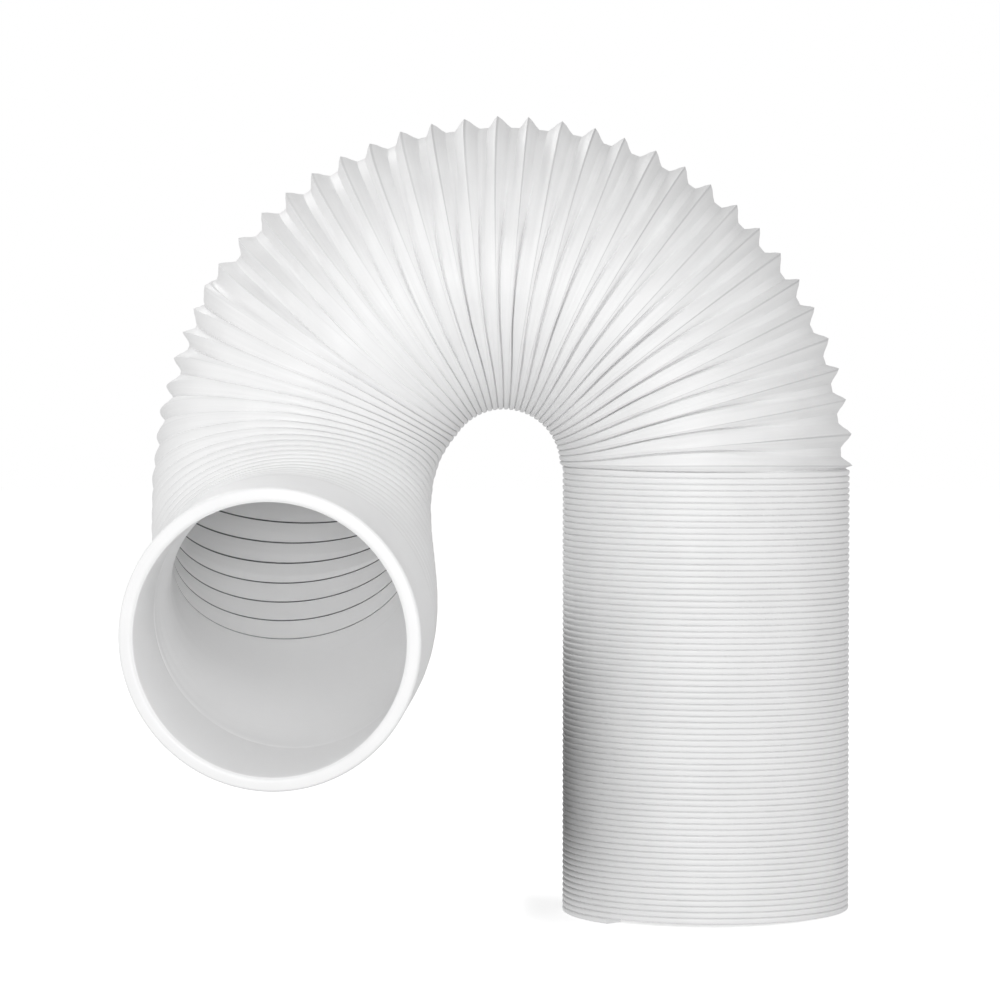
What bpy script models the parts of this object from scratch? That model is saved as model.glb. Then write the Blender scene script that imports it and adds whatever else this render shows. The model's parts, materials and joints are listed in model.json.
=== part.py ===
"""A pleated exhaust hose for a portable air conditioner, as a Blender model.

The hose stands on the floor on its closed, straight leg. It then opens into an arch, and an
elbow turns its other end to the front, where a smooth cuff forms the mouth. Units are metres,
+Z is up and the viewer is at -Y. The origin is on the floor, under the middle of the model's box.

The hose is one strip of plastic, folded in and out and wound in a left-handed spiral. On the
leg the folds are pressed shut, so the leg's wall is a tube here, as thick as a fold is deep, with
some of the grooves between folds as rings round it. In a bend the folds on the inner side stay
shut and those on the outer side spread out.
"""

import math
from collections import namedtuple

import bmesh
import bpy
from mathutils import Vector

# The pleated strip
CREST_RADIUS = 0.0750        # outside of the closed hose, for a 150 mm outlet
FOLD_LENGTH = 0.0112         # from a fold's crest to its root, along the sheet
SHEET_THICKNESS = 0.00075
LEG_PITCH = 0.00305          # from one crest to the next, shut by the hose's own weight
BEND_PITCH = 0.00273         # the same on the inner side of a bend, where it is squeezed
BEND_SWELL = 0.0015          # how far a bend pushes the crests out
OPEN_ROOT_RADIUS = 0.0689    # a fold's root comes no further out than this
WIDEST_SPREAD = 0.9          # share of a fold's length that its spread along the hose reaches
TIGHTEST_BEND = 0.105        # radius below which a tighter bend doesn't spread the folds more

# The straight leg and the arch above it
LEG_HEIGHT = 0.234
LEG_GROOVES = 8              # of the seventy odd between the leg's folds
LEG_GROOVE_WIDTH = 0.0012
LEG_GROOVE_DEPTH = 0.0010
ARCH_RADIUS = 0.1057         # to the centre line
ARCH_ANGLE = math.radians(147)

# The cuff, which bends a little on its way from the elbow to the mouth
CUFF_LENGTH = 0.0550
CUFF_WALL = 0.0065
CUFF_INSET = 0.0003          # the cuff is this much smaller in radius than the closed hose
CUFF_GAP = 0.0003            # between the hose's last fold and the cuff
LIP_FLARE = 0.0011           # the lip is this much larger in radius than the rest of the cuff
LIP_FLARE_LENGTH = 0.022     # over which the cuff widens to it
LIP_OUTER_ROUNDING = 0.0018
LIP_INNER_ROUNDING = 0.0022
MOUTH_YAW = math.radians(7)  # the mouth looks to the front and this much to the left
MOUTH_DIP = math.radians(3.5)  # and this much down
CUFF_BACK_DIP = math.radians(12)

# The mouth's centre, from the point on the floor side where a full half circle would end
MOUTH_OUT = 0.0099           # to the left
MOUTH_FORWARD = 0.150
MOUTH_DROP = 0.0813

# The lengths of the elbow curve's two handles
ELBOW_START_PULL = 0.070
ELBOW_END_PULL = 0.070
ELBOW_WAIST = 0.0033         # how much smaller in radius the hose is drawn, half-way along the elbow

# How finely the shapes are made
HOSE_COLUMNS = 24
CUFF_COLUMNS = 40
CUFF_SECTIONS = 6
ROUNDING_STEPS = 3
ARCH_STEPS = 500
ELBOW_STEPS = 350
END_MARGIN = 0.15            # turns of the spiral without a fold line, at either end

ARCH_CENTRE = Vector((-ARCH_RADIUS, 0.0, LEG_HEIGHT))
MOUTH_CENTRE = ARCH_CENTRE + Vector((-ARCH_RADIUS - MOUTH_OUT, -MOUTH_FORWARD, -MOUTH_DROP))
CUFF_RADIUS = CREST_RADIUS - CUFF_INSET

# A place on the hose's centre line: how many turns of the spiral lie before it, its point, the
# line's direction, the direction that angles round the hose are counted from, the curvature as a
# vector that points away from the centre of the bend, and the radius of the crests there.
Station = namedtuple("Station", "turns point along side bend crest")


def clear_scene():
    """Removes what an open file already holds."""
    for thing in list(bpy.data.objects):
        bpy.data.objects.remove(thing, do_unlink=True)


def plastic(name, colour, roughness):
    """A plain white plastic."""
    material = bpy.data.materials.new(name)
    material.use_nodes = True
    shader = material.node_tree.nodes["Principled BSDF"]
    shader.inputs["Base Color"].default_value = (*colour, 1.0)
    shader.inputs["Roughness"].default_value = roughness
    shader.inputs["Metallic"].default_value = 0.0
    return material


def make_object(name, points, faces, material, sharp_degrees):
    """Turns points and faces into an object with smooth shading and its faces pointing out."""
    mesh = bpy.data.meshes.new(name)
    mesh.from_pydata(points, [], faces)
    work = bmesh.new()
    work.from_mesh(mesh)
    bmesh.ops.recalc_face_normals(work, faces=work.faces)
    work.to_mesh(mesh)
    work.free()
    mesh.shade_smooth()
    mesh.set_sharp_from_angle(angle=math.radians(sharp_degrees))
    mesh.materials.append(material)
    thing = bpy.data.objects.new(name, mesh)
    bpy.context.scene.collection.objects.link(thing)
    return thing


def bridge(faces, ring, other):
    """Joins two rings of points by four-sided faces."""
    count = len(ring)
    for index in range(count):
        after = (index + 1) % count
        faces.append([ring[index], ring[after], other[after], other[index]])


def square_to(along, vector):
    """The part of a vector that is square to a direction, as a unit vector."""
    return (vector - along * vector.dot(along)).normalized()


def round_the_hose(along, side, angle):
    """The unit vector at an angle round a line, counted from side."""
    return math.cos(angle) * side + math.sin(angle) * along.cross(side)


def facing(dip):
    """The direction to the front that turns to the left by the mouth's yaw and dips."""
    return Vector((
        -math.sin(MOUTH_YAW) * math.cos(dip),
        -math.cos(MOUTH_YAW) * math.cos(dip),
        -math.sin(dip),
    ))


def cuff_station(distance):
    """Point and direction of the cuff's centre line, at a distance from its back."""
    dip = CUFF_BACK_DIP + (MOUTH_DIP - CUFF_BACK_DIP) * distance / CUFF_LENGTH
    middle_dip = (dip + MOUTH_DIP) / 2
    return MOUTH_CENTRE - (CUFF_LENGTH - distance) * facing(middle_dip), facing(dip)


def arch_station(angle):
    """Point, direction and bend of the centre line, at an angle round the arch from the leg."""
    outward = Vector((math.cos(angle), 0.0, math.sin(angle)))
    along = Vector((-math.sin(angle), 0.0, math.cos(angle)))
    return ARCH_CENTRE + ARCH_RADIUS * outward, along, outward / ARCH_RADIUS


def elbow_station(share):
    """The same for the elbow, a cubic curve that leaves the arch and runs into the cuff."""
    start, start_along, _ = arch_station(ARCH_ANGLE)
    cuff_back, cuff_along = cuff_station(0.0)
    end = cuff_back - CUFF_GAP * cuff_along
    pulls = [start, start + ELBOW_START_PULL * start_along, end - ELBOW_END_PULL * cuff_along, end]
    rest = 1.0 - share
    weights = (rest ** 3, 3 * rest ** 2 * share, 3 * rest * share ** 2, share ** 3)
    point = sum((weight * pull for weight, pull in zip(weights, pulls)), Vector())
    steps = [after - before for before, after in zip(pulls, pulls[1:])]
    velocity = 3 * (rest ** 2 * steps[0] + 2 * rest * share * steps[1] + share ** 2 * steps[2])
    change = 6 * (rest * (steps[1] - steps[0]) + share * (steps[2] - steps[1]))
    along = velocity.normalized()
    bend = -(change - along * change.dot(along)) / velocity.length_squared
    return point, along, bend


def pitch_at(bend, crest):
    """Distance from crest to crest on the centre line, where the inner folds are just shut."""
    curvature = min(bend.length, 1.0 / TIGHTEST_BEND)
    return BEND_PITCH / (1.0 - curvature * crest)


def folded_line():
    """The centre line of the arch and the elbow, as stations.

    Angles round the hose start at the outer side of the arch, and are carried along the line
    without twisting. Along the elbow the crests' swell dies away, down to the cuff's radius.
    """
    swollen = CREST_RADIUS + BEND_SWELL
    raw = [(*arch_station(ARCH_ANGLE * step / ARCH_STEPS), swollen) for step in range(ARCH_STEPS + 1)]
    for step in range(1, ELBOW_STEPS + 1):
        share = step / ELBOW_STEPS
        crest = swollen + (CUFF_RADIUS - swollen) * share - ELBOW_WAIST * math.sin(math.pi * share)
        raw.append((*elbow_station(share), crest))
    turns = 0.0
    side = Vector((1.0, 0.0, 0.0))
    last_point = raw[0][0]
    stations = []
    for point, along, bend, crest in raw:
        turns += (point - last_point).length / pitch_at(bend, crest)
        side = square_to(along, side)
        stations.append(Station(turns, point, along, side, bend, crest))
        last_point = point
    return stations


def station_at(stations, turns):
    """The first station past a number of turns along the spiral."""
    low, high = 0, len(stations) - 1
    while high - low > 1:
        middle = (low + high) // 2
        if stations[middle].turns < turns:
            low = middle
        else:
            high = middle
    return stations[high]


def fold_depth(spread):
    """How deep a fold is when it is spread this far along the hose."""
    return math.sqrt(FOLD_LENGTH ** 2 - spread ** 2)


def fold_radii(station, angle, is_crest):
    """Outer and inner radius of the wall on a fold line, at an angle round the hose.

    The wider a fold is spread, the less deep it is, and the thinner its sheet is when measured
    along the radius. A wide one also draws its crest in, as its root can't come out further.
    """
    outward = round_the_hose(station.along, station.side, angle)
    middle_radius = station.crest - FOLD_LENGTH / 2
    spread = 0.5 * pitch_at(station.bend, station.crest) * (1.0 + middle_radius * station.bend.dot(outward))
    spread = min(max(spread, 0.5 * BEND_PITCH), WIDEST_SPREAD * FOLD_LENGTH)
    depth = fold_depth(spread)
    crest = min(station.crest, OPEN_ROOT_RADIUS + depth)
    wall = min(SHEET_THICKNESS * FOLD_LENGTH / spread, 0.5 * depth)
    if is_crest:
        return crest, crest - wall
    return crest - depth + wall, crest - depth


def join_columns(faces, left, right):
    """Fills the strip between two columns of fold points, from a start point to an end point.

    Fold points are kept by line number. The spiral's lines start and end at different numbers on
    different columns, so the strip's first and last face have more or fewer sides.
    """
    start_left, folds_left, end_left = left
    start_right, folds_right, end_right = right
    shared = sorted(set(folds_left) & set(folds_right))
    lead_left = [folds_left[line] for line in sorted(folds_left) if line <= shared[0]]
    lead_right = [folds_right[line] for line in sorted(folds_right) if line <= shared[0]]
    faces.append([start_left] + lead_left + lead_right[::-1] + [start_right])
    for line, after in zip(shared, shared[1:]):
        faces.append([folds_left[line], folds_left[after], folds_right[after], folds_right[line]])
    tail_left = [folds_left[line] for line in sorted(folds_left) if line >= shared[-1]]
    tail_right = [folds_right[line] for line in sorted(folds_right) if line >= shared[-1]]
    faces.append([end_right] + tail_right[::-1] + tail_left + [end_left])


def folded_skin(points, faces, stations, side_index, start_radius, end_radius):
    """Makes one side of the folded wall, 0 for outside and 1 for inside. Gives its two rims."""

    def add_point(station, angle, radius):
        points.append(station.point + radius * round_the_hose(station.along, station.side, angle))
        return len(points) - 1

    columns = []
    for column in range(HOSE_COLUMNS):
        share = column / HOSE_COLUMNS
        angle = 2 * math.pi * share
        folds = {}
        # Even lines are crests and odd ones are roots, and the spiral is left-handed, so a line
        # comes earlier by a share of a turn as the angle grows.
        line = math.ceil(2 * (END_MARGIN + share))
        while line / 2 - share <= stations[-1].turns - END_MARGIN:
            station = station_at(stations, line / 2 - share)
            folds[line] = add_point(station, angle, fold_radii(station, angle, line % 2 == 0)[side_index])
            line += 1
        columns.append((
            add_point(stations[0], angle, start_radius),
            folds,
            add_point(stations[-1], angle, end_radius),
        ))
    # Once round the hose, a line joins on to the one two numbers on: past one crest and one root.
    start, folds, end = columns[0]
    columns.append((start, {line + 2: point for line, point in folds.items()}, end))
    for left, right in zip(columns, columns[1:]):
        join_columns(faces, left, right)
    return [column[0] for column in columns[:-1]], [column[2] for column in columns[:-1]]


def leg_outline():
    """The outer wall of the leg below its top as (height, radius), with its grooves evenly spaced."""
    outline = []
    for groove in range(LEG_GROOVES, 0, -1):
        middle = LEG_HEIGHT * groove / (LEG_GROOVES + 1)
        outline.append((middle + LEG_GROOVE_WIDTH / 2, CREST_RADIUS))
        outline.append((middle, CREST_RADIUS - LEG_GROOVE_DEPTH))
        outline.append((middle - LEG_GROOVE_WIDTH / 2, CREST_RADIUS))
    outline.append((0.0, CREST_RADIUS))
    return outline


def add_leg_ring(points, height, radius):
    """Adds a level ring of points round the leg's axis. Its columns are those of the folds above it."""
    ring = [len(points) + column for column in range(HOSE_COLUMNS)]
    for column in range(HOSE_COLUMNS):
        angle = 2 * math.pi * column / HOSE_COLUMNS
        points.append(Vector((radius * math.cos(angle), radius * math.sin(angle), height)))
    return ring


def build_hose():
    """The pleated hose, from the floor to the cuff."""
    points = []
    faces = []
    stations = folded_line()
    leg_bore = CREST_RADIUS - fold_depth(0.5 * LEG_PITCH)
    end_bore = CUFF_RADIUS - fold_depth(0.5 * BEND_PITCH)
    outer_top, outer_end = folded_skin(points, faces, stations, 0, CREST_RADIUS, CUFF_RADIUS)
    inner_top, inner_end = folded_skin(points, faces, stations, 1, leg_bore, end_bore)
    ring = outer_top
    for height, radius in leg_outline():
        below = add_leg_ring(points, height, radius)
        bridge(faces, ring, below)
        ring = below
    inner_foot = add_leg_ring(points, 0.0, leg_bore)
    bridge(faces, inner_foot, inner_top)
    bridge(faces, ring, inner_foot)
    bridge(faces, outer_end, inner_end)
    return make_object("hose", points, faces, plastic("white_pleats", (0.86, 0.86, 0.87), 0.5), 30)


def rounded_corner(distance, radius, rounding, start_degrees):
    """Points on a quarter circle that rounds a corner of the cuff's section."""
    corner = []
    for step in range(ROUNDING_STEPS + 1):
        angle = math.radians(start_degrees + 90 * step / ROUNDING_STEPS)
        corner.append((distance + rounding * math.cos(angle), radius + rounding * math.sin(angle)))
    return corner


def cuff_outside(distance):
    """The cuff's outer radius at a distance from its back."""
    share = max(0.0, 1.0 - (CUFF_LENGTH - distance) / LIP_FLARE_LENGTH)
    return CUFF_RADIUS + LIP_FLARE * share ** 2


def cuff_section():
    """The cuff's section, as (distance from its back, radius), from the bore round the lip."""
    bore = CUFF_RADIUS - CUFF_WALL
    inner_end = CUFF_LENGTH - LIP_INNER_ROUNDING
    outer_end = CUFF_LENGTH - LIP_OUTER_ROUNDING
    lip_centre = cuff_outside(outer_end) - LIP_OUTER_ROUNDING
    section = [(inner_end * step / CUFF_SECTIONS, bore) for step in range(CUFF_SECTIONS)]
    section += rounded_corner(inner_end, bore + LIP_INNER_ROUNDING, LIP_INNER_ROUNDING, -90)
    section += rounded_corner(outer_end, lip_centre, LIP_OUTER_ROUNDING, 0)
    for step in reversed(range(CUFF_SECTIONS)):
        distance = outer_end * step / CUFF_SECTIONS
        section.append((distance, cuff_outside(distance)))
    return section


def build_cuff():
    """The smooth end cuff, its section carried round its centre line."""
    points = []
    rings = []
    for distance, radius in cuff_section():
        centre, along = cuff_station(distance)
        side = square_to(along, Vector((1.0, 0.0, 0.0)))
        rings.append([len(points) + column for column in range(CUFF_COLUMNS)])
        for column in range(CUFF_COLUMNS):
            outward = round_the_hose(along, side, 2 * math.pi * column / CUFF_COLUMNS)
            points.append(centre + radius * outward)
    faces = []
    for ring, after in zip(rings, rings[1:] + rings[:1]):
        bridge(faces, ring, after)
    return make_object("end_cuff", points, faces, plastic("white_cuff", (0.88, 0.88, 0.89), 0.42), 35)


def move_origin(pieces):
    """Moves the model so that the origin is on the floor, under the middle of its box."""
    corners = [vertex.co for piece in pieces for vertex in piece.data.vertices]
    middle_x = (min(corner.x for corner in corners) + max(corner.x for corner in corners)) / 2
    middle_y = (min(corner.y for corner in corners) + max(corner.y for corner in corners)) / 2
    for piece in pieces:
        piece.location = (-middle_x, -middle_y, 0.0)


def main():
    clear_scene()
    move_origin([build_hose(), build_cuff()])


main()
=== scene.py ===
"""Looks of a pleated exhaust hose for a portable air conditioner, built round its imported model.

The hose is one strip of white plastic, folded in and out and wound in a left-handed spiral. The
leg, the arch and the elbow are three stretches of its wall, and they meet along a fold's root. The
wall has a pleated outer skin and a nearly smooth inner one, and is solid between them: the sheet
that is folded away in there isn't modelled.

Lengths are in metres. Places on the hose are counted in turns of the spiral from the foot of the
arch, and angles round it from the side that is the arch's outer side.
"""

import json
import math
import random

import bmesh
import bpy
import numpy as np
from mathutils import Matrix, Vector


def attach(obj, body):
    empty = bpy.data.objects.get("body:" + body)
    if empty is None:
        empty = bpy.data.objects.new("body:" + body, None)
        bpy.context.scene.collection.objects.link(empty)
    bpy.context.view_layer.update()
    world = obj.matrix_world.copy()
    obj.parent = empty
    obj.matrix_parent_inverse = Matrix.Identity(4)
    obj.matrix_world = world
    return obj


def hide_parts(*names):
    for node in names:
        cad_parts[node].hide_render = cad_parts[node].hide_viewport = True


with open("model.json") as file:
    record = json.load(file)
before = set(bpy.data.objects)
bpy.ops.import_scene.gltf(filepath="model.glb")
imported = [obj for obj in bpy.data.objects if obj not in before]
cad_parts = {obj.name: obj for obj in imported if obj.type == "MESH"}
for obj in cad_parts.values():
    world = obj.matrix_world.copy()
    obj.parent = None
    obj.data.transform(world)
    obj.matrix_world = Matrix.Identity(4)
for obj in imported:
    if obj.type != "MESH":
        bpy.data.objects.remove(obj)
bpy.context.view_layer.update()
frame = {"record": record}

# The folded strip, as the solids have it
CREST_RADIUS = 0.0750
FOLD_LENGTH = 0.0112         # from a crest to a root, along the sheet
SHEET_THICKNESS = 0.00075
BEND_PITCH = 0.00273         # from crest to crest on the inner side of a bend
BEND_SWELL = 0.0015
OPEN_ROOT_RADIUS = 0.0689
WIDEST_SPREAD = 0.9
TIGHTEST_BEND = 0.105

# The hose's line, as the solids have it
LEG_HEIGHT = 0.234
ARCH_RADIUS = 0.1057
ARCH_ANGLE = math.radians(147)
CUFF_LENGTH = 0.0550
CUFF_RADIUS = 0.0747
CUFF_BORE = 0.0682
LIP_FLARE = 0.0011
LIP_FLARE_LENGTH = 0.022
MOUTH_YAW = math.radians(7)
MOUTH_DIP = math.radians(3.5)
CUFF_BACK_DIP = math.radians(12)
MOUTH_OUT = 0.0099
MOUTH_FORWARD = 0.150
MOUTH_DROP = 0.0813
ELBOW_START_PULL = 0.070
ELBOW_END_PULL = 0.070
ELBOW_WAIST = 0.0033
BASE_RIM_RADIUS = 0.0693     # middle of the leg's rim, where its mount is

# The leg's folds, which the solids leave out
LEG_FOLDS = 76
NOTCH_TURN = 0.624           # where the strip starts on the floor, as a share of a turn
LEG_PITCH_CHANGE = 0.025     # the folds near the floor are this share closer, those on top wider

# Shapes of a fold, which go by the local pitch from crest to crest
SHUT_PITCH = 0.0031          # up to here folds are shut
TUCKED_PITCH = 0.0075        # here they have bands with tucks between
TOOTH_FROM = 0.0085          # from here on they turn into plain teeth
TOOTH_PITCH = 0.0150
SHUT_GROOVE = 0.0012         # depths of the groove between two folds
TUCK_GROOVE = 0.0027
TOOTH_GROOVE = 0.0062
SHUT_LEAN = -0.12            # how far the root lies off the middle, in turns
TUCK_LEAN = 0.30
TOOTH_LEAN = -0.07
SHUT_BAND_FALL = 0.20        # how far a band falls from its crest to the tuck, as a share of the pitch
TUCK_BAND_FALL = 0.16
TUCK_HALF_WIDTH = 0.00030    # half the width of a groove, and what each metre of pitch adds to it
TUCK_WIDENING = 0.055
TOOTH_FLANK = 0.72           # share of a tooth's side that is its flank, before the flat valley
TOOTH_TIP = 0.14             # share of it that is the rounded tip
FLANK_BOW = 0.80             # below 1 a flank is hollow, at 1 it is straight
EDGE_LEAST = 0.15            # limits of where a band ends, as a share of the fold's side
EDGE_MOST = 0.92
BAND_MOST = 0.7              # a band falls at most this share of its groove's depth
BAND_BOW = 1.6               # above 1 a band is rounded off towards its edge
TUCK_BOW = 0.9

# How uneven open folds are
CREST_WANDER = 0.050         # in turns
ROOT_WANDER = 0.115
CREST_HEIGHT_WANDER = 0.0005
DEPTH_WANDER = 0.50
WIDTH_WANDER = 0.60

# Towards the elbow the tucks get shallower and narrower
CALM_FROM = 15.0             # in turns
CALM_BY = 27.0
CALM_SHARE = 0.75
CALM_NARROWING = 0.5         # how much narrower a tuck gets, for each part that it gets shallower

# The elbow's folds lie flat before they run into the cuff
FLAT_FROM = -0.105           # places along the cuff's axis, from its back
FLAT_BY = -0.050
FLAT_GROOVE = 0.0005
BORE_MEETS_FROM = -0.050     # between these the bore grows to the cuff's
BORE_MEETS_BY = -0.004
BORE_STEP = 0.0001           # by which it stays below the cuff's bore
HELD_FROM = -0.002           # between these the folds are squeezed into the cuff's wall
HELD_BY = 0.001
HELD_COVER = 0.0004          # of the cuff's wall over them
CREASE_DEPTH = 0.0012        # of the creases that show inside the elbow
CREASE_WIDTH = 0.060         # as a share of the pitch
CREASE_FADES_FROM = -0.068
CREASE_FADES_BY = -0.058
CREASE_SHIFT = 0.6           # in the elbow the bore's creases lie this many turns on from the crests
SHIFT_FROM = 28.0            # in turns
SHIFT_BY = 34.0
TURNS_IN_CUFF = 1.4          # for these turns the folds run on inside the cuff

# How finely the pieces are meshed. Steps go from a fold's crest, at 0, to its root, at 1.
LEG_COLUMNS = 96             # for each turn
BEND_COLUMNS = 144
CUFF_COLUMNS = 160
LEG_STEPS = (0.3, 0.6, 0.8)
FINE_STEPS = (0.2, 0.4, 0.6, 0.75, 0.9)
COARSE_STEPS = (0.5,)
CREASE_STEPS = (0.02, 0.05, 0.12, 0.4, 0.8)
EDGE_STEP = 0.6              # here a band ends and its tuck begins
SHARP_FOLD_DEGREES = 38

# Finish of the plastic. Scales of noise are for each metre.
PLASTIC_IOR = 1.49
PLEAT_ROUGHNESS = (0.40, 0.52)
CUFF_ROUGHNESS = (0.30, 0.42)
PLEAT_DARK = (0.770, 0.770, 0.772)
PLEAT_LIGHT = (0.845, 0.845, 0.846)
CUFF_DARK = (0.810, 0.810, 0.812)
CUFF_LIGHT = (0.845, 0.845, 0.846)
# Painted shade: a thin dark line just below each open crest, for the shade that falls under it
CREST_SHADE_COLOUR = (0.46, 0.46, 0.465)
CREST_SHADE_PLACE = 0.055     # how far below the crest the line is, where the lower root is 1 away
CREST_SHADE_WIDTH = 0.085
CREST_SHADE_CHANGES = 3.1     # for each turn, how often it comes and goes
CREST_SHADE_LEAST = 0.25
# Painted shade: a dark line along the creases inside the elbow, for the shade in them
CREASE_SHADE_COLOUR = (0.12, 0.12, 0.122)
CREASE_SHADE_WIDTH = 0.085
CREASE_SHADE_SHARPNESS = 2.0
STREAKS_ALONG = 5.0          # for each turn of the spiral
STREAKS_ACROSS = 3.5         # for each side of a fold
STREAK_TONE_SHARE = 0.6      # the mottle gives the rest of the tone
STREAK_HEIGHT = 0.00035
SHUT_STREAKS = 0.15          # share of the streaks' height that shut folds have
MOTTLE_SCALE = 38.0
FLOW_SCALE = 26.0
FLOW_HEIGHT = 0.0004
PLEAT_GRAIN_SCALE = 900.0
CUFF_GRAIN_SCALE = 700.0
GRAIN_HEIGHT = 0.00002
# Painted light: the inside of the hose and the cuff is lighter, for the light that comes through the thin
# sheet
INSIDE_PAINTED_LIGHT = (0.950, 0.950, 0.951)
INSIDE_PAINTED_LIGHT_SHARE = 0.92
CUFF_INSIDE_BY = 0.0006      # the cuff's inside ends this far out from its bore, on the lip's rounding

# The studio. A softbox has a name, the direction it comes from as degrees to the right of the front
# and degrees above the level, its distance, its width, and its power in watts.
LIT_SPOT = Vector((-0.11, 0.0, 0.22))
TENT_ABOVE = 0.60
TENT_BELOW = 0.74
TENT_BLEND = 0.3             # the tent's brightness changes between this far above and below the level
FLAG_GAP = 0.030             # from the leg's crests
FLAG_FRONT = 0.090
FLAG_BACK = 0.100
FLAG_BOTTOM = 0.016
FLAG_TOP = 0.145
FLAG_BLACK = (0.02, 0.02, 0.02)
FLAG_PALE = (0.85, 0.85, 0.85)
FLOOR_REACH = 6.0
FLOOR_COLOUR = (0.90, 0.90, 0.90)
FLOOR_ROUGHNESS = (0.85, 0.95)
FLOOR_GRAIN_SCALE = 60.0
FLOOR_GLOW = 0.48
SOFTBOXES = (
    ("softbox_right", 60, 20, 2.5, 1.2, 5.5),
    ("softbox_left", -85, 15, 2.5, 1.2, 9.0),
    ("softbox_back_left", -150, 40, 2.5, 1.2, 12.0),
    ("softbox_mouth", -9, 1, 1.2, 0.4, 4.2),
    ("softbox_mouth_high", 5, 35, 1.3, 0.4, 1.7),
)

# The camera, with its place as counted from the foot of the leg's axis
CAMERA_SENSOR = 36.0         # in millimetres, like the lens
CAMERA_LENS = 165.3
CAMERA_PLACE = Vector((-0.1077, -2.400, 0.310))
CAMERA_DIP_DEGREES = 2.245
CAMERA_REACH = 50.0

MOUTH_CENTRE = Vector((-2 * ARCH_RADIUS - MOUTH_OUT, -MOUTH_FORWARD, LEG_HEIGHT - MOUTH_DROP))
ARCH_CENTRE = Vector((-ARCH_RADIUS, 0.0, LEG_HEIGHT))
STRIP_START = -(LEG_FOLDS - 1 + NOTCH_TURN)
LEG_BOTTOM = STRIP_START - 0.5 + SHUT_LEAN


def leg_axis():
    """The leg's axis on the floor, from the rim mount, which is on the leg's right-hand side."""
    for mount in frame["record"]["mounts"]:
        if mount["name"] == "base_rim":
            return Vector(mount["pos_m"]) - Vector((BASE_RIM_RADIUS, 0.0, 0.0))
    raise ValueError("the record has no mount named base_rim")


LEG_AXIS = leg_axis()


def square_to(along, vector):
    """The part of a vector that is square to a direction, as a unit vector."""
    return (vector - along * vector.dot(along)).normalized()


def facing(dip):
    """The direction to the front that turns to the left by the mouth's yaw and dips."""
    return Vector((
        -math.sin(MOUTH_YAW) * math.cos(dip),
        -math.cos(MOUTH_YAW) * math.cos(dip),
        -math.sin(dip),
    ))


def cuff_station(distance):
    """Point and direction of the cuff's centre line, at a distance from its back."""
    dip = CUFF_BACK_DIP + (MOUTH_DIP - CUFF_BACK_DIP) * distance / CUFF_LENGTH
    middle_dip = (dip + MOUTH_DIP) / 2
    return MOUTH_CENTRE - (CUFF_LENGTH - distance) * facing(middle_dip), facing(dip)


def arch_station(angle):
    """Point, direction and bend of the centre line, at an angle round the arch from the leg."""
    outward = Vector((math.cos(angle), 0.0, math.sin(angle)))
    along = Vector((-math.sin(angle), 0.0, math.cos(angle)))
    return ARCH_CENTRE + ARCH_RADIUS * outward, along, outward / ARCH_RADIUS


def elbow_station(share):
    """The same for the elbow, a cubic curve that leaves the arch and runs into the cuff."""
    start, start_along, _ = arch_station(ARCH_ANGLE)
    end, cuff_along = cuff_station(0.0)
    pulls = [start, start + ELBOW_START_PULL * start_along, end - ELBOW_END_PULL * cuff_along, end]
    rest = 1.0 - share
    weights = (rest ** 3, 3 * rest ** 2 * share, 3 * rest * share ** 2, share ** 3)
    point = sum((weight * pull for weight, pull in zip(weights, pulls)), Vector())
    steps = [after - before for before, after in zip(pulls, pulls[1:])]
    velocity = 3 * (rest ** 2 * steps[0] + 2 * rest * share * steps[1] + share ** 2 * steps[2])
    change = 6 * (rest * (steps[1] - steps[0]) + share * (steps[2] - steps[1]))
    along = velocity.normalized()
    bend = -(change - along * change.dot(along)) / velocity.length_squared
    return point, along, bend


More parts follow.
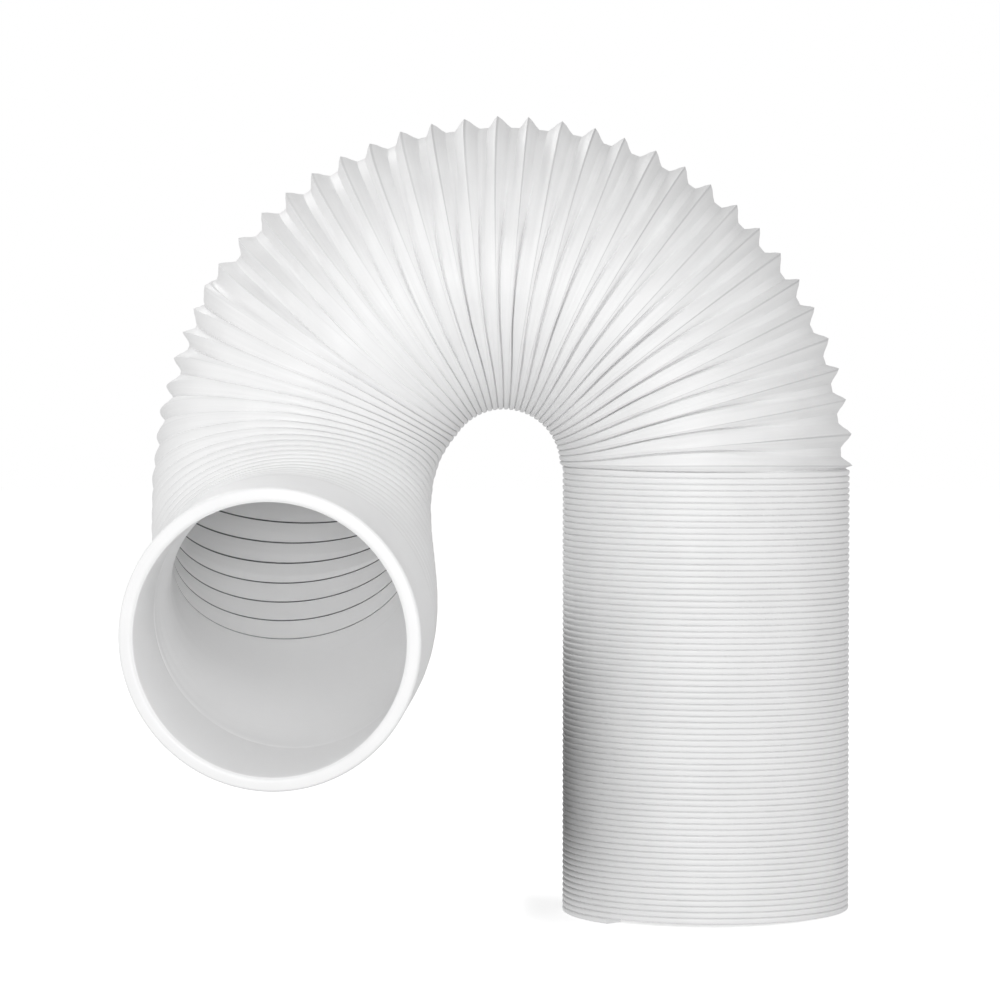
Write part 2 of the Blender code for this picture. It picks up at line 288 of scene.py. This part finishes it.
class CentreLine:
    """The hose's centre line, read off by turns of the spiral.

    Each column of the table is one number that belongs to a place on the line: its point, its
    direction, the direction that angles are counted from, its bend, the crests' radius there, the
    pitch on the line, and how far the place is inside the cuff.
    """

    STEPS = 400              # in the leg, in the arch and in the elbow
    STEPS_BELOW_FLOOR = 8    # the table starts a little below the first root
    CUFF_STEPS = 40
    INTO_CUFF = 0.024
    BEFORE_ELBOW = -1.0      # says that a place isn't near the cuff

    def __init__(self):
        self.turns = []
        self.rows = []
        self.add_leg()
        self.add_bends()
        self.turns = np.array(self.turns)
        self.rows = np.array(self.rows)
        in_cuff = self.rows[:, -1]
        self.arch_end = self.turns[in_cuff == self.BEFORE_ELBOW].max()
        self.cuff_start = float(np.interp(0.0, in_cuff, self.turns))

    def add(self, turns, point, along, side, bend, crest, pitch, in_cuff):
        """Adds one place to the table."""
        self.turns.append(turns)
        self.rows.append([*point, *along, *side, *bend, crest, pitch, in_cuff])

    def add_leg(self):
        """The straight leg, from below the floor to the foot of the arch."""
        up = Vector((0.0, 0.0, 1.0))
        side = Vector((1.0, 0.0, 0.0))
        mean_pitch = LEG_HEIGHT / -LEG_BOTTOM
        for step in range(-self.STEPS_BELOW_FLOOR, self.STEPS):
            share = step / self.STEPS
            height = LEG_HEIGHT * (share + LEG_PITCH_CHANGE * share * (share - 1))
            pitch = mean_pitch * (1 + LEG_PITCH_CHANGE * (2 * share - 1))
            turns = LEG_BOTTOM * (1 - share)
            self.add(turns, up * height, up, side, Vector(), CREST_RADIUS, pitch, self.BEFORE_ELBOW)

    def add_bends(self):
        """The arch, the elbow and the stretch inside the cuff."""
        swollen = CREST_RADIUS + BEND_SWELL
        raw = []
        for step in range(self.STEPS + 1):
            angle = ARCH_ANGLE * step / self.STEPS
            raw.append((*arch_station(angle), swollen, self.BEFORE_ELBOW))
        end, cuff_along = cuff_station(0.0)
        for step in range(1, self.STEPS + 1):
            share = step / self.STEPS
            crest = swollen + (CUFF_RADIUS - swollen) * share - ELBOW_WAIST * math.sin(math.pi * share)
            station = elbow_station(share)
            raw.append((*station, crest, (station[0] - end).dot(cuff_along)))
        for step in range(1, self.CUFF_STEPS + 1):
            distance = self.INTO_CUFF * step / self.CUFF_STEPS
            raw.append((*cuff_station(distance), raw[-1][2], CUFF_RADIUS, distance))
        turns = 0.0
        side = Vector((1.0, 0.0, 0.0))
        last = raw[0][0]
        for point, along, bend, crest, in_cuff in raw:
            pitch = BEND_PITCH / (1.0 - min(bend.length, 1.0 / TIGHTEST_BEND) * crest)
            turns += (point - last).length / pitch
            side = square_to(along, side)
            self.add(turns, point, along, side, bend, crest, pitch, in_cuff)
            last = point

    def at(self, turns):
        """Point, direction, side, bend, crest, pitch and depth in the cuff, for an array of turns."""
        columns = [np.interp(turns, self.turns, column) for column in self.rows.T]
        point, along, side, bend = (
            np.stack(columns[first:first + 3], axis=-1) for first in (0, 3, 6, 9))
        crest, pitch, in_cuff = columns[12:]
        along = along / np.linalg.norm(along, axis=-1, keepdims=True)
        side = side / np.linalg.norm(side, axis=-1, keepdims=True)
        return point, along, side, bend, crest, pitch, in_cuff


LINE = CentreLine()


def wander(seed, waves=((0.37, 1.0), (0.93, 0.7), (1.71, 0.5), (3.3, 0.35))):
    """A smooth random function of the turns, between about -1 and 1.

    A wave that isn't a whole number of times round the hose makes each fold differ from the next.
    """
    dice = random.Random(seed)
    phases = [dice.uniform(0.0, 2 * math.pi) for _ in waves]
    total = sum(size for _, size in waves)

    def value(turns):
        sizes = zip(waves, phases)
        return sum(size * np.sin(2 * np.pi * rate * turns + phase) for (rate, size), phase in sizes) / total

    return value


crest_wander = wander(11)
root_wander = wander(12)
depth_wander = wander(13)
width_wander = wander(14)
height_wander = wander(15)


def smooth_step(value):
    """Runs smoothly from 0 to 1 as the value does."""
    value = np.clip(value, 0.0, 1.0)
    return value * value * (3.0 - 2.0 * value)


def between(value, low, high):
    """Runs smoothly from 0 at the low value to 1 at the high one."""
    return smooth_step((value - low) / (high - low))


def outward_at(along, side, angle):
    """Unit vectors at angles round the line."""
    return np.cos(angle)[..., None] * side + np.sin(angle)[..., None] * np.cross(along, side)


class Folds:
    """What the folds are like at places that are given by turns and angles round the hose."""

    def __init__(self, turns, angle):
        _, along, side, bend, crest, pitch, in_cuff = LINE.at(turns)
        middle = crest - FOLD_LENGTH / 2
        bulge = np.sum(bend * outward_at(along, side, angle), axis=-1)
        self.pitch = pitch * (1.0 + middle * bulge)
        spread = np.clip(0.5 * self.pitch, 0.5 * BEND_PITCH, WIDEST_SPREAD * FOLD_LENGTH)
        depth = np.sqrt(FOLD_LENGTH ** 2 - spread ** 2)
        self.open = between(self.pitch, SHUT_PITCH, TUCKED_PITCH)
        self.tooth = between(self.pitch, TOOTH_FROM, TOOTH_PITCH)
        self.flat = between(in_cuff, FLAT_FROM, FLAT_BY)
        uneven = self.open * (1.0 - self.flat)
        self.crest_radius = np.minimum(crest, OPEN_ROOT_RADIUS + depth)
        self.crest_radius = self.crest_radius + uneven * CREST_HEIGHT_WANDER * height_wander(turns)
        self.calm = CALM_SHARE * between(turns, CALM_FROM, CALM_BY)
        groove = SHUT_GROOVE + (TUCK_GROOVE * (1.0 - self.calm) - SHUT_GROOVE) * self.open
        groove = groove * (1.0 + uneven * (1.0 - self.tooth) * DEPTH_WANDER * depth_wander(turns))
        groove = groove + (TOOTH_GROOVE - groove) * self.tooth
        self.groove = groove + (FLAT_GROOVE - groove) * self.flat
        width = (TUCK_HALF_WIDTH + TUCK_WIDENING * self.pitch) * (1.0 - CALM_NARROWING * self.calm)
        self.tuck_width = width * (1.0 + uneven * WIDTH_WANDER * width_wander(turns))
        self.lean = SHUT_LEAN + (TUCK_LEAN - SHUT_LEAN) * self.open
        self.lean = self.lean + (TOOTH_LEAN - self.lean) * self.tooth
        self.band_fall = SHUT_BAND_FALL + (TUCK_BAND_FALL - SHUT_BAND_FALL) * self.open * (1.0 - self.flat)
        self.crest_shift = uneven * CREST_WANDER * crest_wander(turns)
        self.root_shift = self.lean + uneven * ROOT_WANDER * root_wander(turns)
        self.inner_radius = self.crest_radius - np.maximum(depth, self.groove + SHEET_THICKNESS)
        meets = between(in_cuff, BORE_MEETS_FROM, BORE_MEETS_BY)
        self.inner_radius = self.inner_radius + (CUFF_BORE - BORE_STEP - self.inner_radius) * meets
        fades = between(in_cuff, CREASE_FADES_FROM, CREASE_FADES_BY)
        self.crease = CREASE_DEPTH * self.open * (1.0 - fades)


def place(turns, angle, radius):
    """Points at a radius from the line. Inside the cuff the folds are squeezed into its wall."""
    point, along, side, _, _, _, in_cuff = LINE.at(turns)
    held = between(in_cuff, HELD_FROM, HELD_BY)
    squeezed = np.clip(radius, CUFF_BORE + HELD_COVER, CUFF_RADIUS - HELD_COVER)
    radius = radius + (squeezed - radius) * held
    return point + radius[..., None] * outward_at(along, side, angle)


def bore_turns(turns):
    """Where the bore's side of a fold lies, for the turns where its outer side lies."""
    return turns + CREASE_SHIFT * between(turns, SHIFT_FROM, SHIFT_BY)


def outer_fall(folds, length, step):
    """Where on a fold's side a step lies, and how far the outer skin is below its crest there.

    The side is a band that falls gently from the crest to an edge, and then the tuck. The band
    takes up the steps as far as EDGE_STEP, and the tuck the rest. An open fold is a plain tooth.
    """
    edge = np.clip(1.0 - folds.tuck_width / length, EDGE_LEAST, EDGE_MOST)
    edge = edge + (TOOTH_FLANK - edge) * folds.tooth
    if step <= EDGE_STEP:
        where = edge * step / EDGE_STEP
    else:
        where = edge + (1.0 - edge) * (step - EDGE_STEP) / (1.0 - EDGE_STEP)
    band = np.minimum(folds.band_fall * length, BAND_MOST * folds.groove)
    on_band = band * np.clip(where / edge, 0.0, 1.0) ** BAND_BOW
    in_tuck = (folds.groove - band) * np.clip((where - edge) / (1.0 - edge), 0.0, 1.0) ** TUCK_BOW
    tucked = on_band + in_tuck
    flank = np.clip(where / TOOTH_FLANK, 0.0, 1.0)
    tip = TOOTH_TIP * (1.0 - np.exp(-flank / TOOTH_TIP))
    flank = np.clip((flank - tip) / (1.0 - TOOTH_TIP), 0.0, 1.0)
    tooth = folds.groove * (1.0 - (1.0 - flank) ** (1.0 / FLANK_BOW))
    return where, tucked + (tooth - tucked) * folds.tooth


def cells(grid):
    """The four corners of each cell of a grid."""
    corners = np.stack([grid[:-1, :-1], grid[1:, :-1], grid[1:, 1:], grid[:-1, 1:]], axis=2)
    return corners.reshape(-1, 4, *grid.shape[2:])


def strip_stretch(first_turn, last_turn, columns, outer_steps, inner_steps):
    """A stretch of the hose's wall, closed all round: points, faces, ends, map and point values.

    A row runs across one fold, from the root below a crest to the root above it. The root above
    is the root below of the row one turn on, so the two share their points.
    """
    rows = int(round((last_turn - first_turn) * columns))
    row_turns = first_turn + np.arange(rows + columns + 1) / columns
    angle = -2 * np.pi * row_turns
    root = row_turns - 0.5
    root = root + Folds(root, angle).root_shift
    at_root = Folds(root, angle)
    near = slice(0, rows + 1)
    far = slice(columns, rows + columns + 1)
    crest = row_turns[near] + Folds(row_turns[near], angle[near]).crest_shift
    at_crest = Folds(crest, angle[near])

    def between_points(step, is_upper, is_inner):
        """The points of one side of the folds, a step of the way from crest to root."""
        side = far if is_upper else near
        length = np.abs(root[side] - crest) * at_crest.pitch
        where, fall = outer_fall(at_crest, length, step)
        top = at_crest.crest_radius + (at_root.crest_radius[side] - at_crest.crest_radius) * where
        groove = at_crest.groove + (at_root.groove[side] - at_crest.groove) * where
        radius = top - fall * groove / at_crest.groove
        turns = crest + (root[side] - crest) * where
        if is_inner:
            inner = at_crest.inner_radius + (at_root.inner_radius[side] - at_crest.inner_radius) * where
            crease = at_crest.crease * np.clip(1.0 - where / CREASE_WIDTH, 0.0, 1.0)
            radius = np.minimum(inner + crease, radius - SHEET_THICKNESS)
            turns = bore_turns(turns)
        return place(turns, angle[near], radius), where if is_upper else -where

    def skin(steps, is_inner, offset):
        """One skin of the wall: its points, its faces, and each face corner's place on the map.

        The roots' points come first, then those between, row by row. On the map, the first number
        is how far along the strip a point is, in turns, and the second one how far across: from -1
        at the lower root over 0 at the crest to 1 at the upper root.
        """
        radius = at_root.inner_radius if is_inner else at_root.crest_radius - at_root.groove
        columns_across = [between_points(step, False, is_inner) for step in reversed(steps)]
        columns_across += [between_points(step, True, is_inner) for step in (0.0, *steps)]
        middle = np.stack([column for column, _ in columns_across], axis=1)
        roots = place(bore_turns(root) if is_inner else root, angle, radius)
        skin_points = np.concatenate([roots, middle.reshape(-1, 3)])
        count = len(columns_across)
        index = np.arange(rows + 1)[:, None]
        inside = (rows + columns + 1) + index * count + np.arange(count)
        table = offset + np.concatenate([index, inside, index + columns], axis=1)
        ones = np.ones((rows + 1, 1))
        places_across = np.stack([where for _, where in columns_across], axis=1)
        across = np.concatenate([-ones, places_across, ones], axis=1)
        along = np.repeat(row_turns[near, None], count + 2, axis=1)
        spots = np.stack([along, across], axis=-1)
        return skin_points, table, cells(table), cells(spots)

    outer_points, outer_table, outer_quads, outer_map = skin(outer_steps, False, 0)
    inner_points, inner_table, inner_quads, inner_map = skin(inner_steps, True, len(outer_points))
    edge_rows = np.concatenate([np.arange(columns), rows + np.arange(columns)])
    inner_root = len(outer_points) + edge_rows
    edges = np.stack([edge_rows, inner_root, inner_root + 1, edge_rows + 1], axis=-1)
    edge_map = np.zeros((len(edges), 4, 2))
    quads = np.concatenate([outer_quads, inner_quads[:, ::-1], edges])
    quad_map = np.concatenate([outer_map, inner_map[:, ::-1], edge_map])
    ends = [[*outer_table[row], *inner_table[row][::-1]] for row in (0, -1)]
    points = np.concatenate([outer_points, inner_points])
    middle = 2 * len(outer_steps) + 1
    middle_inside = 2 * len(inner_steps) + 1

    def for_all_points(roots, crests, roots_inside, crests_inside):
        """One number for each point, from those of the roots and crests of both skins."""
        outer = np.concatenate([roots, np.repeat(crests, middle)])
        return np.concatenate([outer, roots_inside, np.repeat(crests_inside, middle_inside)])

    open_root = at_root.open * (1.0 - at_root.calm)
    open_crest = at_crest.open * (1.0 - at_crest.calm)
    creased = at_crest.crease / CREASE_DEPTH
    no_root = np.zeros(len(root))
    no_crest = np.zeros(len(crest))
    values = {
        "openness": for_all_points(open_root, open_crest, open_root, open_crest),
        "inside": for_all_points(no_root, no_crest, no_root + 1.0, no_crest + 1.0),
        "creased": for_all_points(no_root, no_crest, no_root, creased),
    }
    return points, quads, ends, quad_map, values


def make_mesh_object(name, points, faces, material):
    """Turns points and faces into an object in the row frame, on the model's one body."""
    mesh = bpy.data.meshes.new(name)
    mesh.from_pydata(points, [], faces)
    mesh.materials.append(material)
    piece = bpy.data.objects.new(name, mesh)
    bpy.context.scene.collection.objects.link(piece)
    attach(piece, "root")
    mesh.shade_smooth()
    mesh.set_sharp_from_angle(angle=math.radians(SHARP_FOLD_DEGREES))
    return piece


def turn_faces_out(mesh):
    """Makes all faces of a closed mesh point out."""
    work = bmesh.new()
    work.from_mesh(mesh)
    bmesh.ops.recalc_face_normals(work, faces=work.faces)
    work.to_mesh(mesh)
    work.free()


def make_stretch(name, first_turn, last_turn, columns, outer_steps, inner_steps, material):
    """One stretch of the hose as an object, with the map and the point values for its material."""
    points, quads, ends, quad_map, values = strip_stretch(
        first_turn, last_turn, columns, outer_steps, inner_steps)
    points = points + np.array(LEG_AXIS)
    piece = make_mesh_object(name, points.tolist(), quads.tolist() + ends, material)
    mesh = piece.data
    end_map = np.zeros((sum(len(end) for end in ends), 2))
    corner_map = np.concatenate([quad_map.reshape(-1, 2), end_map])
    mesh.uv_layers.new(name="strip").data.foreach_set("uv", corner_map.ravel())
    for value_name, numbers in values.items():
        mesh.attributes.new(value_name, "FLOAT", "POINT").data.foreach_set("value", numbers)
    turn_faces_out(mesh)
    return piece


def rounded_corner(distance, radius, along_rounding, out_rounding, start_degrees, steps=8):
    """Points on a quarter ellipse that rounds a corner of the cuff's section."""
    corner = []
    for step in range(steps + 1):
        angle = math.radians(start_degrees + 90 * step / steps)
        along = distance + along_rounding * math.cos(angle)
        corner.append((along, radius + out_rounding * math.sin(angle)))
    return corner


def cuff_outside(distance):
    """The cuff's outer radius at a distance from its back."""
    share = max(0.0, 1.0 - (CUFF_LENGTH - distance) / LIP_FLARE_LENGTH)
    return CUFF_RADIUS + LIP_FLARE * share ** 2


def cuff_section():
    """The cuff's section as (distance from its back, radius), from the bore round the lip to the back."""
    inner_rounding = 0.0022
    outer_along = 0.0024
    outer_out = 0.0016
    back_rounding = 0.0009
    inner_end = CUFF_LENGTH - inner_rounding
    outer_end = CUFF_LENGTH - outer_along
    bore_rings = 8
    outer_rings = 10
    section = [(inner_end * ring / bore_rings, CUFF_BORE) for ring in range(bore_rings)]
    section += rounded_corner(inner_end, CUFF_BORE + inner_rounding, inner_rounding, inner_rounding, -90)
    section += rounded_corner(outer_end, cuff_outside(outer_end) - outer_out, outer_along, outer_out, 0)
    for ring in range(outer_rings - 1, 0, -1):
        distance = outer_end * ring / outer_rings
        section.append((distance, cuff_outside(distance)))
    back_radius = CUFF_RADIUS - back_rounding
    section += rounded_corner(back_rounding, back_radius, back_rounding, back_rounding, 90, 4)
    return section


def make_cuff(material):
    """The cuff, its section turned round its slightly bent axis."""
    points = []
    inside = []
    rings = []
    for distance, radius in cuff_section():
        inside += [1.0 if radius < CUFF_BORE + CUFF_INSIDE_BY else 0.0] * CUFF_COLUMNS
        centre, along = cuff_station(distance)
        side = square_to(along, Vector((1.0, 0.0, 0.0)))
        up = along.cross(side)
        rings.append([len(points) + column for column in range(CUFF_COLUMNS)])
        for column in range(CUFF_COLUMNS):
            angle = 2 * math.pi * column / CUFF_COLUMNS
            points.append(LEG_AXIS + centre + radius * (math.cos(angle) * side + math.sin(angle) * up))
    faces = []
    for ring, other in zip(rings, rings[1:] + rings[:1]):
        for column in range(CUFF_COLUMNS):
            after = (column + 1) % CUFF_COLUMNS
            faces.append([ring[column], ring[after], other[after], other[column]])
    piece = make_mesh_object("end_cuff_shell", points, faces, material)
    piece.data.attributes.new("inside", "FLOAT", "POINT").data.foreach_set("value", inside)
    turn_faces_out(piece.data)
    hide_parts("end_cuff")
    return piece


class Nodes:
    """Short ways to add shader nodes to a material."""

    def __init__(self, name):
        self.material = bpy.data.materials.new(name)
        self.material.use_nodes = True
        self.tree = self.material.node_tree
        self.shader = self.tree.nodes["Principled BSDF"]

    def add(self, kind, inputs=None, **settings):
        """A node with its settings and its inputs, each a number or another node's output."""
        node = self.tree.nodes.new(kind)
        for key, value in settings.items():
            setattr(node, key, value)
        for key, value in (inputs or {}).items():
            if isinstance(value, bpy.types.NodeSocket):
                self.tree.links.new(value, node.inputs[key])
            else:
                node.inputs[key].default_value = value
        return node

    def maths(self, operation, first, second=0.0):
        """An operation on one or two values, each a number or another node's output."""
        node = self.add("ShaderNodeMath", {0: first, 1: second}, operation=operation)
        return node.outputs[0]

    def point_value(self, name):
        """A number that the mesh holds for each point."""
        return self.add("ShaderNodeAttribute", attribute_name=name).outputs["Fac"]

    def noise(self, vector, scale, detail=2.0):
        """Noise between 0 and 1."""
        node = self.add("ShaderNodeTexNoise", {"Vector": vector, "Scale": scale, "Detail": detail})
        return node.outputs["Fac"]

    def spread(self, value, low, high):
        """Stretches 0.3 to 0.7, where most noise lies, to a range."""
        node = self.add("ShaderNodeMapRange", {"Value": value, 1: 0.3, 2: 0.7, 3: low, 4: high})
        return node.outputs[0]

    def mix_colours(self, factor, first, second):
        """A mix of two colours, each three numbers or another node's output."""
        node = self.tree.nodes.new("ShaderNodeMix")
        node.data_type = "RGBA"
        self.tree.links.new(factor, node.inputs["Factor"])
        sockets = [socket for socket in node.inputs if socket.type == "RGBA"]
        for socket, colour in zip(sockets, (first, second)):
            if isinstance(colour, bpy.types.NodeSocket):
                self.tree.links.new(colour, socket)
            else:
                socket.default_value = (*colour, 1.0)
        return next(socket for socket in node.outputs if socket.type == "RGBA")

    def bump(self, height, distance, normal=None):
        """Relief of a height, on top of another one if a normal is given."""
        inputs = {"Height": height, "Distance": distance}
        if normal is not None:
            inputs["Normal"] = normal
        return self.add("ShaderNodeBump", inputs).outputs["Normal"]

    def to_shader(self, **links):
        """Links outputs to the shader's inputs, with _ for the space in a name."""
        for key, output in links.items():
            self.tree.links.new(output, self.shader.inputs[key.replace("_", " ")])


def pleat_material():
    """Satin white sheet with soft streaks along the folds.

    Painted shade: a fine dark line runs below the crests where folds are open, and along the creases
    inside the elbow. Painted light: the inside is lighter, for the light through the thin sheet.
    """
    nodes = Nodes("pleated_plastic")
    nodes.shader.inputs["IOR"].default_value = PLASTIC_IOR
    strip = nodes.add("ShaderNodeUVMap", uv_map="strip").outputs["UV"]
    parts = nodes.add("ShaderNodeSeparateXYZ", {"Vector": strip})
    along, across = parts.outputs["X"], parts.outputs["Y"]
    spot = nodes.add("ShaderNodeTexCoord").outputs["Object"]
    openness = nodes.point_value("openness")
    inside = nodes.point_value("inside")
    outside = nodes.maths("SUBTRACT", 1.0, inside)

    streak_spot = nodes.add("ShaderNodeCombineXYZ", {
        "X": nodes.maths("MULTIPLY", along, STREAKS_ALONG),
        "Y": nodes.maths("MULTIPLY", across, STREAKS_ACROSS),
    }).outputs["Vector"]
    streaks = nodes.noise(streak_spot, 1.0, 3.0)
    mottle = nodes.noise(spot, MOTTLE_SCALE, 3.0)
    streak_tone = nodes.maths("MULTIPLY", streaks, STREAK_TONE_SHARE)
    tone = nodes.maths("ADD", streak_tone, nodes.maths("MULTIPLY", mottle, 1.0 - STREAK_TONE_SHARE))
    colour = nodes.mix_colours(nodes.spread(tone, 0.0, 1.0), PLEAT_DARK, PLEAT_LIGHT)
    # Painted light: the inner skin is lighter, for the light that comes through the thin sheet
    colour = nodes.mix_colours(nodes.maths("MULTIPLY", inside, INSIDE_PAINTED_LIGHT_SHARE), colour, INSIDE_PAINTED_LIGHT)

    # Painted shade: a thin dark line just below the crests of open folds, on the outer skin only
    line_spot = nodes.add("ShaderNodeCombineXYZ", {
        "X": nodes.maths("MULTIPLY", along, CREST_SHADE_CHANGES),
    }).outputs["Vector"]
    comes_and_goes = nodes.spread(nodes.noise(line_spot, 1.0), CREST_SHADE_LEAST, 1.0)
    off_crest = nodes.maths("ABSOLUTE", nodes.maths("ADD", across, CREST_SHADE_PLACE))
    line = nodes.maths("SUBTRACT", 1.0, nodes.maths("DIVIDE", off_crest, CREST_SHADE_WIDTH))
    line = nodes.maths("MAXIMUM", line, 0.0)
    line = nodes.maths("MULTIPLY", nodes.maths("MULTIPLY", line, comes_and_goes), openness)
    colour = nodes.mix_colours(nodes.maths("MULTIPLY", line, outside), colour, CREST_SHADE_COLOUR)

    # Painted shade: a dark line along the creases that show inside the elbow
    off_crease = nodes.maths("DIVIDE", nodes.maths("ABSOLUTE", across), CREASE_SHADE_WIDTH)
    crease = nodes.maths("MAXIMUM", nodes.maths("SUBTRACT", 1.0, off_crease), 0.0)
    crease = nodes.maths("MINIMUM", nodes.maths("MULTIPLY", crease, CREASE_SHADE_SHARPNESS), 1.0)
    crease = nodes.maths("MULTIPLY", crease, nodes.point_value("creased"))
    colour = nodes.mix_colours(crease, colour, CREASE_SHADE_COLOUR)

    streak_share = nodes.maths("MULTIPLY", outside, nodes.maths("ADD", openness, SHUT_STREAKS))
    normal = nodes.bump(nodes.maths("MULTIPLY", streaks, streak_share), STREAK_HEIGHT)
    normal = nodes.bump(nodes.noise(spot, PLEAT_GRAIN_SCALE), GRAIN_HEIGHT, normal)
    nodes.to_shader(Base_Color=colour, Roughness=nodes.spread(mottle, *PLEAT_ROUGHNESS), Normal=normal)
    return nodes.material


def cuff_material():
    """Smooth moulded plastic with faint flow marks, a fine grain, and a lighter inside of painted light."""
    nodes = Nodes("cuff_plastic")
    nodes.shader.inputs["IOR"].default_value = PLASTIC_IOR
    spot = nodes.add("ShaderNodeTexCoord").outputs["Object"]
    flow = nodes.noise(spot, FLOW_SCALE, 4.0)
    colour = nodes.mix_colours(nodes.spread(flow, 0.0, 1.0), CUFF_DARK, CUFF_LIGHT)
    # Painted light: the cuff's inside is lighter, for the light that comes through it
    inside = nodes.maths("MULTIPLY", nodes.point_value("inside"), INSIDE_PAINTED_LIGHT_SHARE)
    colour = nodes.mix_colours(inside, colour, INSIDE_PAINTED_LIGHT)
    normal = nodes.bump(flow, FLOW_HEIGHT)
    normal = nodes.bump(nodes.noise(spot, CUFF_GRAIN_SCALE), GRAIN_HEIGHT, normal)
    nodes.to_shader(Base_Color=colour, Roughness=nodes.spread(flow, *CUFF_ROUGHNESS), Normal=normal)
    return nodes.material


def make_world():
    """A dim light tent, a little brighter below than above, which the camera sees as plain white."""
    world = bpy.data.worlds.new("studio")
    bpy.context.scene.world = world
    world.use_nodes = True
    tree = world.node_tree
    direction = tree.nodes.new("ShaderNodeTexCoord")
    parts = tree.nodes.new("ShaderNodeSeparateXYZ")
    tree.links.new(direction.outputs["Generated"], parts.inputs["Vector"])
    height = tree.nodes.new("ShaderNodeMapRange")
    tree.links.new(parts.outputs["Z"], height.inputs["Value"])
    levels = {"From Min": -TENT_BLEND, "From Max": TENT_BLEND, "To Min": TENT_BELOW, "To Max": TENT_ABOVE}
    for socket, level in levels.items():
        height.inputs[socket].default_value = level
    path = tree.nodes.new("ShaderNodeLightPath")
    strength = tree.nodes.new("ShaderNodeMath")
    strength.operation = "MAXIMUM"
    tree.links.new(path.outputs["Is Camera Ray"], strength.inputs[0])
    tree.links.new(height.outputs["Result"], strength.inputs[1])
    background = tree.nodes["Background"]
    background.inputs["Color"].default_value = (1.0, 1.0, 1.0, 1.0)
    tree.links.new(strength.outputs["Value"], background.inputs["Strength"])


def make_softbox(name, azimuth, elevation, distance, size, watts):
    """A round softbox that looks at the hose from a direction given in degrees."""
    turn = math.radians(azimuth)
    rise = math.radians(elevation)
    towards = Vector((math.sin(turn) * math.cos(rise), -math.cos(turn) * math.cos(rise), math.sin(rise)))
    light = bpy.data.lights.new(name, "AREA")
    light.shape = "DISK"
    light.size = size
    light.energy = watts
    lamp = bpy.data.objects.new(name, light)
    lamp.location = LEG_AXIS + LIT_SPOT + distance * towards
    lamp.rotation_euler = towards.to_track_quat("Z", "Y").to_euler()
    lamp.visible_camera = False
    bpy.context.scene.collection.objects.link(lamp)


def make_flag():
    """A card at the leg's left that keeps the tent's light off it, black on the leg's side.

    It gives the leg the dark left edge that the photograph shows. Views from the left and from
    behind show the same shade as a dark patch on the leg, and without this card it is gone.
    """
    x = LEG_AXIS.x - CREST_RADIUS - FLAG_GAP
    front = LEG_AXIS.y - FLAG_FRONT
    back = LEG_AXIS.y + FLAG_BACK
    mesh = bpy.data.meshes.new("flag")
    corners = [(x, front, FLAG_BOTTOM), (x, back, FLAG_BOTTOM), (x, back, FLAG_TOP), (x, front, FLAG_TOP)]
    mesh.from_pydata(corners, [], [(0, 1, 2, 3)])
    flag = bpy.data.objects.new("flag", mesh)
    bpy.context.scene.collection.objects.link(flag)
    nodes = Nodes("flag_card")
    back_side = nodes.add("ShaderNodeNewGeometry").outputs["Backfacing"]
    nodes.to_shader(Base_Color=nodes.mix_colours(back_side, FLAG_BLACK, FLAG_PALE))
    mesh.materials.append(nodes.material)
    flag.visible_camera = False


def make_floor():
    """A plain white floor that glows a little, and whose own light doesn't fall on the hose."""
    mesh = bpy.data.meshes.new("floor")
    corners = [(-1, -1), (1, -1), (1, 1), (-1, 1)]
    mesh.from_pydata([(FLOOR_REACH * x, FLOOR_REACH * y, 0.0) for x, y in corners], [], [(0, 1, 2, 3)])
    floor = bpy.data.objects.new("floor", mesh)
    bpy.context.scene.collection.objects.link(floor)
    nodes = Nodes("white_floor")
    grain = nodes.noise(nodes.add("ShaderNodeTexCoord").outputs["Object"], FLOOR_GRAIN_SCALE, 3.0)
    nodes.shader.inputs["Base Color"].default_value = (*FLOOR_COLOUR, 1.0)
    nodes.shader.inputs["Emission Color"].default_value = (1.0, 1.0, 1.0, 1.0)
    nodes.shader.inputs["Emission Strength"].default_value = FLOOR_GLOW
    nodes.to_shader(Roughness=nodes.spread(grain, *FLOOR_ROUGHNESS))
    mesh.materials.append(nodes.material)
    floor.visible_diffuse = False
    floor.visible_glossy = False


def make_camera():
    """A long lens in front of the hose, a little above its mouth, as in the photograph."""
    camera = bpy.data.cameras.new("camera")
    camera.sensor_width = CAMERA_SENSOR
    camera.lens = CAMERA_LENS
    camera.clip_end = CAMERA_REACH
    view = bpy.data.objects.new("camera", camera)
    view.location = LEG_AXIS + CAMERA_PLACE
    view.rotation_euler = (math.radians(90 - CAMERA_DIP_DEGREES), 0.0, 0.0)
    bpy.context.scene.collection.objects.link(view)
    bpy.context.scene.camera = view


make_camera()
make_world()
for softbox in SOFTBOXES:
    make_softbox(*softbox)
make_floor()
make_flag()
bpy.context.scene.view_settings.view_transform = "Standard"
pleats = pleat_material()
cuff_finish = cuff_material()
arch_turns = math.floor(LINE.arch_end)
end_turn = LINE.cuff_start + TURNS_IN_CUFF
make_stretch("hose_leg", STRIP_START, 0.0, LEG_COLUMNS, LEG_STEPS, COARSE_STEPS, pleats)
arch = make_stretch("hose_arch", 0.0, arch_turns, BEND_COLUMNS, FINE_STEPS, COARSE_STEPS, pleats)
make_stretch("hose_elbow", arch_turns, end_turn, BEND_COLUMNS, FINE_STEPS, CREASE_STEPS, pleats)
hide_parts("hose")
make_cuff(cuff_finish)
